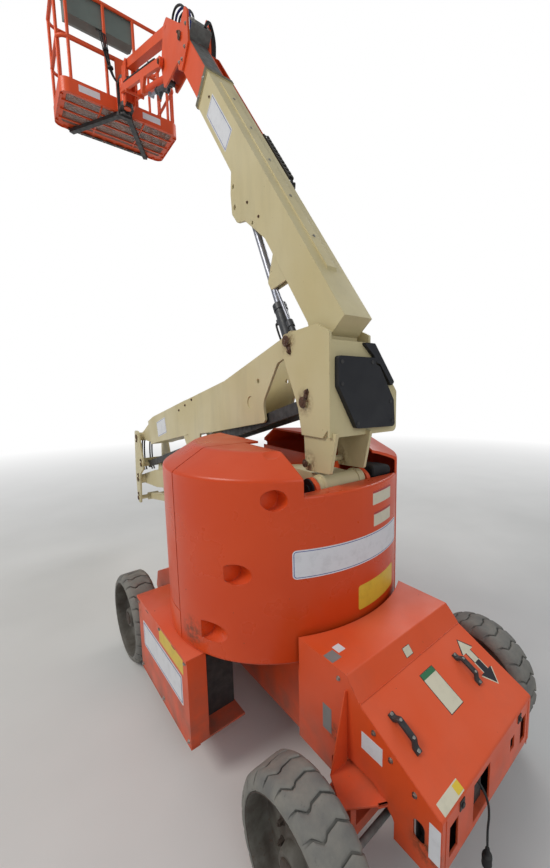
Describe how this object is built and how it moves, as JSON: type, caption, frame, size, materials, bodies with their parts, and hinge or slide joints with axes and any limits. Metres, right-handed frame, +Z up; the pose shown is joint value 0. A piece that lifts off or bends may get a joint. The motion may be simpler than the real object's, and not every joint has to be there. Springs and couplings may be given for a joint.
{
  "type": "articulating boom lift",
  "caption": "Self-propelled articulating boom lift with two-stage tower, telescopic main boom, jib and railed platform on a wheeled chassis with a slewing turntable.",
  "frame": {"origin": "on the ground under the swing axis of the turntable, midway between the axles", "axes": "+X towards the steered end of the chassis, +Y towards its left side, +Z up"},
  "size_m": [5.5959, 1.5139, 6.307],
  "materials": {
    "orange_paint": "satin",
    "orange_cover": "satin",
    "cream_paint": "satin",
    "counterweight_paint": "satin",
    "black_steel": "satin",
    "grey_steel": "matte",
    "chrome_rod": "polished",
    "grey_tyre": "matte",
    "black_plastic": "matte",
    "grey_plastic": "matte",
    "black_rubber": "matte"
  },
  "bodies": {
    "chassis": {"chassis_frame": "orange_paint", "front_hood": "orange_paint", "charger_unit": "black_steel", "hood_handles": "black_plastic", "front_axle": "orange_paint", "steer_cylinder": "black_steel", "battery_boxes": "orange_paint", "battery_packs": "black_plastic", "rear_cover": "orange_cover", "rear_axle": "black_steel", "charger_cord": "black_rubber", "charger_plug": "black_rubber"},
    "steer_knuckle_left": {"steer_knuckle_left": "grey_steel"},
    "steer_knuckle_right": {"steer_knuckle_right": "grey_steel"},
    "tie_rod": {"tie_rod": "grey_steel"},
    "turntable": {"turntable_frame": "orange_paint", "counterweight": "counterweight_paint", "power_modules": "black_plastic"},
    "hood_left": {"turntable_hood_left": "orange_cover"},
    "hood_right": {"turntable_hood_right": "orange_cover"},
    "lower_boom": {"lower_boom": "cream_paint"},
    "lower_link": {"lower_link": "cream_paint"},
    "knuckle": {"knuckle": "cream_paint"},
    "mid_boom": {"mid_boom": "cream_paint"},
    "upper_link": {"upper_link": "cream_paint"},
    "upright": {"upright": "cream_paint", "upright_covers": "black_plastic"},
    "tower_cylinder": {"tower_cylinder": "black_steel"},
    "tower_rod": {"tower_rod": "chrome_rod"},
    "main_boom": {"main_boom": "cream_paint"},
    "lift_cylinder": {"lift_cylinder": "black_steel"},
    "lift_rod": {"lift_rod": "chrome_rod"},
    "level_cylinder": {"level_cylinder": "black_steel"},
    "level_rod": {"level_rod": "chrome_rod"},
    "fly_boom": {"fly_boom": "orange_paint", "track_tray": "grey_steel", "track_chain": "black_plastic"},
    "jib_base": {"jib_base": "orange_paint"},
    "jib_arms": {"jib_lower_arms": "orange_paint"},
    "jib_link": {"jib_upper_arm": "orange_paint"},
    "jib_cylinder": {"jib_cylinder": "black_steel"},
    "jib_rod": {"jib_rod": "chrome_rod"},
    "platform_support": {"platform_support": "orange_paint"},
    "platform": {"platform_underframe": "black_steel", "platform_frame": "orange_paint", "platform_floor": "grey_steel", "control_console": "grey_plastic"},
    "platform_gate": {"platform_gate": "orange_paint"},
    "wheel_front_left": {"tyre_front_left": "grey_tyre", "rim_front_left": "orange_paint"},
    "wheel_front_right": {"tyre_front_right": "grey_tyre", "rim_front_right": "orange_paint"},
    "wheel_rear_left": {"tyre_rear_left": "grey_tyre", "rim_rear_left": "orange_paint"},
    "wheel_rear_right": {"tyre_rear_right": "grey_tyre", "rim_rear_right": "orange_paint"}
  },
  "joints": [
    {"name": "steer_left", "type": "hinge", "parent": "chassis", "child": "steer_knuckle_left", "pos_m": [1.015, 0.53, 0.3175], "axis": [0, 0, 1], "range_deg": [-30, 30]},
    {"name": "steer_right", "type": "hinge", "parent": "chassis", "child": "steer_knuckle_right", "pos_m": [1.015, -0.53, 0.3175], "axis": [0, 0, 1], "range_deg": [-30, 30]},
    {"name": "tie_rod_slide", "type": "slide", "parent": "chassis", "child": "tie_rod", "axis": [0, 1, 0], "range_m": [-0.07616, 0.07616]},
    {"name": "wheel_front_left_spin", "type": "hinge", "parent": "steer_knuckle_left", "child": "wheel_front_left", "pos_m": [1.015, 0.661, 0.3175], "axis": [0, 1, 0], "continuous": true},
    {"name": "wheel_front_right_spin", "type": "hinge", "parent": "steer_knuckle_right", "child": "wheel_front_right", "pos_m": [1.015, -0.661, 0.3175], "axis": [0, 1, 0], "continuous": true},
    {"name": "wheel_rear_left_spin", "type": "hinge", "parent": "chassis", "child": "wheel_rear_left", "pos_m": [-1.015, 0.661, 0.3175], "axis": [0, 1, 0], "continuous": true},
    {"name": "wheel_rear_right_spin", "type": "hinge", "parent": "chassis", "child": "wheel_rear_right", "pos_m": [-1.015, -0.661, 0.3175], "axis": [0, 1, 0], "continuous": true},
    {"name": "turntable_swing", "type": "hinge", "parent": "chassis", "child": "turntable", "pos_m": [0, 0, 0.683], "axis": [0, 0, 1], "range_deg": [-175, 175]},
    {"name": "hood_left_hinge", "type": "hinge", "parent": "turntable", "child": "hood_left", "pos_m": [-0.63491, -0.21979, 1.1], "axis": [0, 0, -1], "range_deg": [0, 70]},
    {"name": "hood_right_hinge", "type": "hinge", "parent": "turntable", "child": "hood_right", "pos_m": [-0.61617, 0.26785, 1.1], "axis": [0, 0, 1], "range_deg": [0, 70]},
    {"name": "tower_lift", "type": "hinge", "parent": "turntable", "child": "lower_boom", "pos_m": [0.51062, -0.01962, 1.505], "axis": [0.0384, 0.9993, 0], "range_deg": [0, 45]},
    {"name": "lower_link_pivot", "type": "hinge", "parent": "turntable", "child": "lower_link", "pos_m": [0.46066, -0.0177, 1.255], "axis": [0.0384, 0.9993, 0], "range_deg": [0, 45]},
    {"name": "knuckle_pivot", "type": "hinge", "parent": "lower_boom", "child": "knuckle", "pos_m": [-3.14768, 0.12092, 0.86], "axis": [0.0384, 0.9993, 0], "range_deg": [-45, 0]},
    {"name": "mid_boom_pivot", "type": "hinge", "parent": "knuckle", "child": "mid_boom", "pos_m": [-3.09771, 0.119, 1.4], "axis": [0.0384, 0.9993, 0], "range_deg": [-45, 0]},
    {"name": "upper_link_pivot", "type": "hinge", "parent": "knuckle", "child": "upper_link", "pos_m": [-2.94882, 0.11328, 1.076], "axis": [0.0384, 0.9993, 0], "range_deg": [-45, 0]},
    {"name": "upright_pivot", "type": "hinge", "parent": "mid_boom", "child": "upright", "pos_m": [0.26181, -0.01006, 2.259], "axis": [0.0384, 0.9993, 0], "range_deg": [0, 45]},
    {"name": "tower_cylinder_pivot", "type": "hinge", "parent": "lower_boom", "child": "tower_cylinder", "pos_m": [-2.59808, 0.09981, 1.13], "axis": [0.0384, 0.9993, 0], "range_deg": [-103.34, 0]},
    {"name": "tower_rod_slide", "type": "slide", "parent": "tower_cylinder", "child": "tower_rod", "axis": [0.9818, -0.0377, 0.1861], "range_m": [0, 0.81065]},
    {"name": "main_boom_lift", "type": "hinge", "parent": "upright", "child": "main_boom", "pos_m": [0.51962, -0.01996, 2.2], "axis": [0.0384, 0.9993, 0], "range_deg": [-52, 21]},
    {"name": "fly_extend", "type": "slide", "parent": "main_boom", "child": "fly_boom", "axis": [-0.6152, 0.0236, 0.788], "range_m": [-0.45, 0.9]},
    {"name": "lift_cylinder_pivot", "type": "hinge", "parent": "upright", "child": "lift_cylinder", "pos_m": [0.41969, -0.01612, 1.615], "axis": [0.0384, 0.9993, 0], "range_deg": [-39.57, 16.01]},
    {"name": "lift_rod_slide", "type": "slide", "parent": "lift_cylinder", "child": "lift_rod", "axis": [-0.4478, 0.0172, 0.894], "range_m": [-0.39983, 0.16177]},
    {"name": "level_cylinder_pivot", "type": "hinge", "parent": "upright", "child": "level_cylinder", "pos_m": [0.34214, -0.08119, 2.13], "axis": [0.0384, 0.9993, 0], "range_deg": [-59.85, 24.2]},
    {"name": "level_rod_slide", "type": "slide", "parent": "level_cylinder", "child": "level_rod", "axis": [-0.5449, 0.0209, 0.8383], "range_m": [-0.12756, 0.05181]},
    {"name": "boom_tip_level", "type": "hinge", "parent": "fly_boom", "child": "jib_base", "pos_m": [-1.21097, 0.04652, 4.66032], "axis": [0.0384, 0.9993, 0], "range_deg": [-21, 52]},
    {"name": "jib_lift", "type": "hinge", "parent": "jib_base", "child": "jib_arms", "pos_m": [-1.73872, 0.06679, 4.79], "axis": [-0.0384, -0.9993, 0], "range_deg": [-63.5, 80.5]},
    {"name": "jib_link_pivot", "type": "hinge", "parent": "jib_base", "child": "jib_link", "pos_m": [-1.63879, 0.06296, 5.01], "axis": [-0.0384, -0.9993, 0], "range_deg": [-63.5, 80.5]},
    {"name": "platform_level", "type": "hinge", "parent": "jib_arms", "child": "platform_support", "pos_m": [-3.06781, 0.11785, 5.28729], "axis": [-0.0384, -0.9993, 0], "range_deg": [-80.5, 63.5]},
    {"name": "jib_cylinder_pivot", "type": "hinge", "parent": "jib_base", "child": "jib_cylinder", "pos_m": [-1.69875, 0.06526, 4.64], "axis": [-0.0384, -0.9993, 0], "range_deg": [-57.2, 72.5]},
    {"name": "jib_rod_slide", "type": "slide", "parent": "jib_cylinder", "child": "jib_rod", "axis": [-0.9379, 0.036, 0.345], "range_m": [-0.16207, 0.12795]},
    {"name": "platform_rotate", "type": "hinge", "parent": "platform_support", "child": "platform", "pos_m": [-3.19764, 0.12284, 5.3], "axis": [0, 0, 1], "range_deg": [-90, 90]},
    {"name": "gate_hinge", "type": "hinge", "parent": "platform", "child": "platform_gate", "pos_m": [-3.9314, 0.74247, 5.8], "axis": [0, 0, -1], "range_deg": [0, 90]}
  ],
  "couplings": [
    {"joint": "steer_right", "follows": "steer_left", "ratio": 1},
    {"joint": "tie_rod_slide", "follows": "steer_left", "m_per_rad": 0.1445},
    {"joint": "lower_link_pivot", "follows": "tower_lift", "ratio": 1},
    {"joint": "knuckle_pivot", "follows": "tower_lift", "ratio": -1},
    {"joint": "mid_boom_pivot", "follows": "tower_lift", "ratio": -1},
    {"joint": "upper_link_pivot", "follows": "tower_lift", "ratio": -1},
    {"joint": "upright_pivot", "follows": "tower_lift", "ratio": 1},
    {"joint": "tower_cylinder_pivot", "follows": "tower_lift", "ratio": -2.2954},
    {"joint": "tower_rod_slide", "follows": "tower_lift", "m_per_rad": 1.0315},
    {"joint": "lift_cylinder_pivot", "follows": "main_boom_lift", "ratio": 0.76},
    {"joint": "lift_rod_slide", "follows": "main_boom_lift", "m_per_rad": 0.44},
    {"joint": "level_cylinder_pivot", "follows": "main_boom_lift", "ratio": 1.15},
    {"joint": "level_rod_slide", "follows": "main_boom_lift", "m_per_rad": 0.14},
    {"joint": "boom_tip_level", "follows": "main_boom_lift", "ratio": -1},
    {"joint": "jib_link_pivot", "follows": "jib_lift", "ratio": 1},
    {"joint": "platform_level", "follows": "jib_lift", "ratio": -1},
    {"joint": "jib_cylinder_pivot", "follows": "jib_lift", "ratio": 0.9},
    {"joint": "jib_rod_slide", "follows": "jib_lift", "m_per_rad": -0.115}
  ]
}
